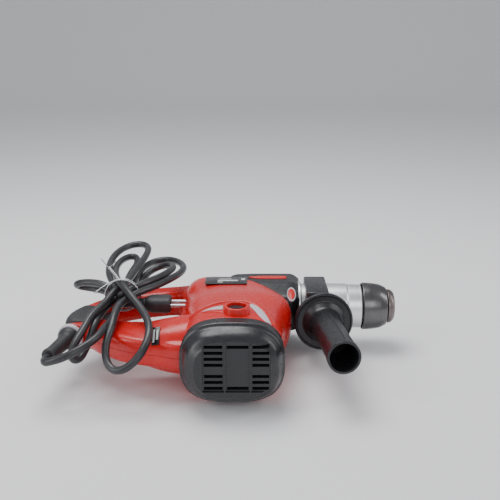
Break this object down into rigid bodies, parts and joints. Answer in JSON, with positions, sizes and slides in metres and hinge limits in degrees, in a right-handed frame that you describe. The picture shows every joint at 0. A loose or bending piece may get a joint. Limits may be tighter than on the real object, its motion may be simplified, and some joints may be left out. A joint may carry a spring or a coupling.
{
  "type": "rotary hammer",
  "caption": "Corded rotary hammer with upright motor, D-shaped rear handle, clamped side handle, sliding chuck sleeve, crank hammer drive and tied mains cord.",
  "frame": {"origin": "middle of the tool's own bounding box in plan, at the height of the points it rests on, lying on its left side", "axes": "+X along the barrel to the nose, +Y towards the tool's top, +Z towards its right side, upwards as it lies"},
  "size_m": [0.396, 0.2799, 0.1025],
  "materials": {
    "red_plastic": "satin moulded plastic, finely textured",
    "dark_plastic": "dark grey moulded plastic",
    "handle_rubber": "dark grey soft rubber",
    "cord_rubber": "grey-black rubber sheath",
    "nose_rubber": "dark moulded rubber",
    "light_insert": "light grey satin plastic",
    "cast_aluminium": "as cast",
    "silver_aluminium": "fine silver, satin",
    "steel": "ground",
    "dark_steel": "dark oxide, satin",
    "copper": "enamelled winding",
    "brass": "plain",
    "carbon": "pressed carbon",
    "label": "gloss black label, blank"
  },
  "bodies": {
    "tool_body": {"motor_housing": "red_plastic", "handle_shell_right": "red_plastic", "handle_shell_left": "red_plastic", "side_stripe": "red_plastic", "front_badge": "red_plastic", "gear_cover": "dark_plastic", "end_cover": "dark_plastic", "brush_cap_right": "dark_plastic", "brush_cap_left": "dark_plastic", "switch_module": "dark_plastic", "grip_rubber": "handle_rubber", "cord_guard": "cord_rubber", "cord": "cord_rubber", "cord_hank": "cord_rubber", "plug": "cord_rubber", "cord_collar": "light_insert", "crankcase": "cast_aluminium", "front_barrel": "silver_aluminium", "upper_motor_bearing": "steel", "lower_motor_bearing": "steel", "crank_bearing": "steel", "spindle_rear_bearing": "steel", "spindle_front_bearing": "steel", "sleeve_spring": "steel", "handle_screw_1": "steel", "handle_screw_2": "steel", "handle_screw_3": "steel", "twist_tie": "steel", "field_stator": "dark_steel", "brush_holder_right": "brass", "brush_holder_left": "brass", "carbon_brush_right": "carbon", "carbon_brush_left": "carbon", "name_plate": "label"},
    "rotor": {"armature_shaft": "steel", "armature_core": "copper", "commutator": "copper", "cooling_fan": "dark_plastic"},
    "crank": {"crankshaft": "steel", "crank_gear": "dark_steel"},
    "bevel_shaft": {"bevel_pinion_shaft": "steel", "bevel_shaft_gear": "dark_steel"},
    "spindle_body": {"spindle": "steel", "bevel_wheel": "dark_steel", "locking_ball_right": "steel", "locking_ball_left": "steel", "nose_ring": "nose_rubber"},
    "piston_body": {"piston": "cast_aluminium", "wrist_pin": "steel"},
    "rod": {"connecting_rod": "cast_aluminium"},
    "striker_body": {"striker": "steel"},
    "impact_bolt_body": {"impact_bolt": "steel"},
    "sleeve": {"locking_sleeve": "dark_steel"},
    "trigger_body": {"trigger": "dark_plastic"},
    "lock_button_body": {"lock_button": "dark_plastic"},
    "mode_knob_body": {"mode_knob": "dark_plastic"},
    "chisel_knob_body": {"chisel_knob": "dark_plastic"},
    "side_clamp": {"side_handle_clamp": "dark_plastic"},
    "side_grip": {"side_handle_grip": "handle_rubber", "side_handle_bolt": "steel"}
  },
  "joints": [
    {"name": "rotor_spin", "type": "hinge", "parent": "tool_body", "child": "rotor", "pos_m": [0.0022, -0.025, 0.05], "axis": [0, 1, 0], "continuous": true},
    {"name": "crank_spin", "type": "hinge", "parent": "tool_body", "child": "crank", "pos_m": [-0.02475, 0.045, 0.05], "axis": [0, 1, 0], "continuous": true},
    {"name": "bevel_shaft_spin", "type": "hinge", "parent": "tool_body", "child": "bevel_shaft", "pos_m": [0.02915, 0.045, 0.05], "axis": [0, 1, 0], "continuous": true},
    {"name": "spindle_spin", "type": "hinge", "parent": "tool_body", "child": "spindle_body", "pos_m": [0.1022, 0.075, 0.05], "axis": [1, 0, 0], "continuous": true},
    {"name": "piston_slide", "type": "slide", "parent": "tool_body", "child": "piston_body", "axis": [1, 0, 0], "range_m": [-0.026, 0]},
    {"name": "rod_swing", "type": "hinge", "parent": "piston_body", "child": "rod", "pos_m": [0.03425, 0.075, 0.05], "axis": [0, 1, 0], "range_deg": [-16.4, 16.4]},
    {"name": "striker_slide", "type": "slide", "parent": "spindle_body", "child": "striker_body", "axis": [1, 0, 0], "range_m": [-0.01, 0.005]},
    {"name": "impact_bolt_slide", "type": "slide", "parent": "spindle_body", "child": "impact_bolt_body", "axis": [1, 0, 0], "range_m": [-0.005, 0.003]},
    {"name": "sleeve_slide", "type": "slide", "parent": "spindle_body", "child": "sleeve", "axis": [1, 0, 0], "range_m": [-0.008, 0], "stiffness_N_per_m": 2500, "springref_m": 0.004, "deforming": ["sleeve_spring"]},
    {"name": "trigger_slide", "type": "slide", "parent": "tool_body", "child": "trigger_body", "axis": [1, 0, 0], "range_m": [-0.005, 0], "stiffness_N_per_m": 1200, "springref_m": 0.003},
    {"name": "lock_button_slide", "type": "slide", "parent": "tool_body", "child": "lock_button_body", "axis": [0, 0, 1], "range_m": [0, 0.003], "stiffness_N_per_m": 800, "springref_m": -0.002},
    {"name": "mode_knob_turn", "type": "hinge", "parent": "tool_body", "child": "mode_knob_body", "pos_m": [0.0462, 0.081, 0.01], "axis": [0, 0, 1], "range_deg": [-90, 90]},
    {"name": "chisel_knob_turn", "type": "hinge", "parent": "tool_body", "child": "chisel_knob_body", "pos_m": [-0.0178, 0.081, 0.01], "axis": [0, 0, 1], "range_deg": [-90, 90]},
    {"name": "side_handle_turn", "type": "hinge", "parent": "tool_body", "child": "side_clamp", "pos_m": [0.0982, 0.075, 0.05], "axis": [1, 0, 0], "continuous": true},
    {"name": "side_grip_twist", "type": "hinge", "parent": "side_clamp", "child": "side_grip", "pos_m": [0.10783, -0.02481, 0.0561], "axis": [-0.0958, 0.9935, -0.0608], "range_deg": [0, 360]}
  ],
  "couplings": [
    {"joint": "crank_spin", "follows": "rotor_spin", "ratio": -0.16667},
    {"joint": "bevel_shaft_spin", "follows": "rotor_spin", "ratio": -0.16667},
    {"joint": "spindle_spin", "follows": "rotor_spin", "ratio": -0.037037}
  ]
}
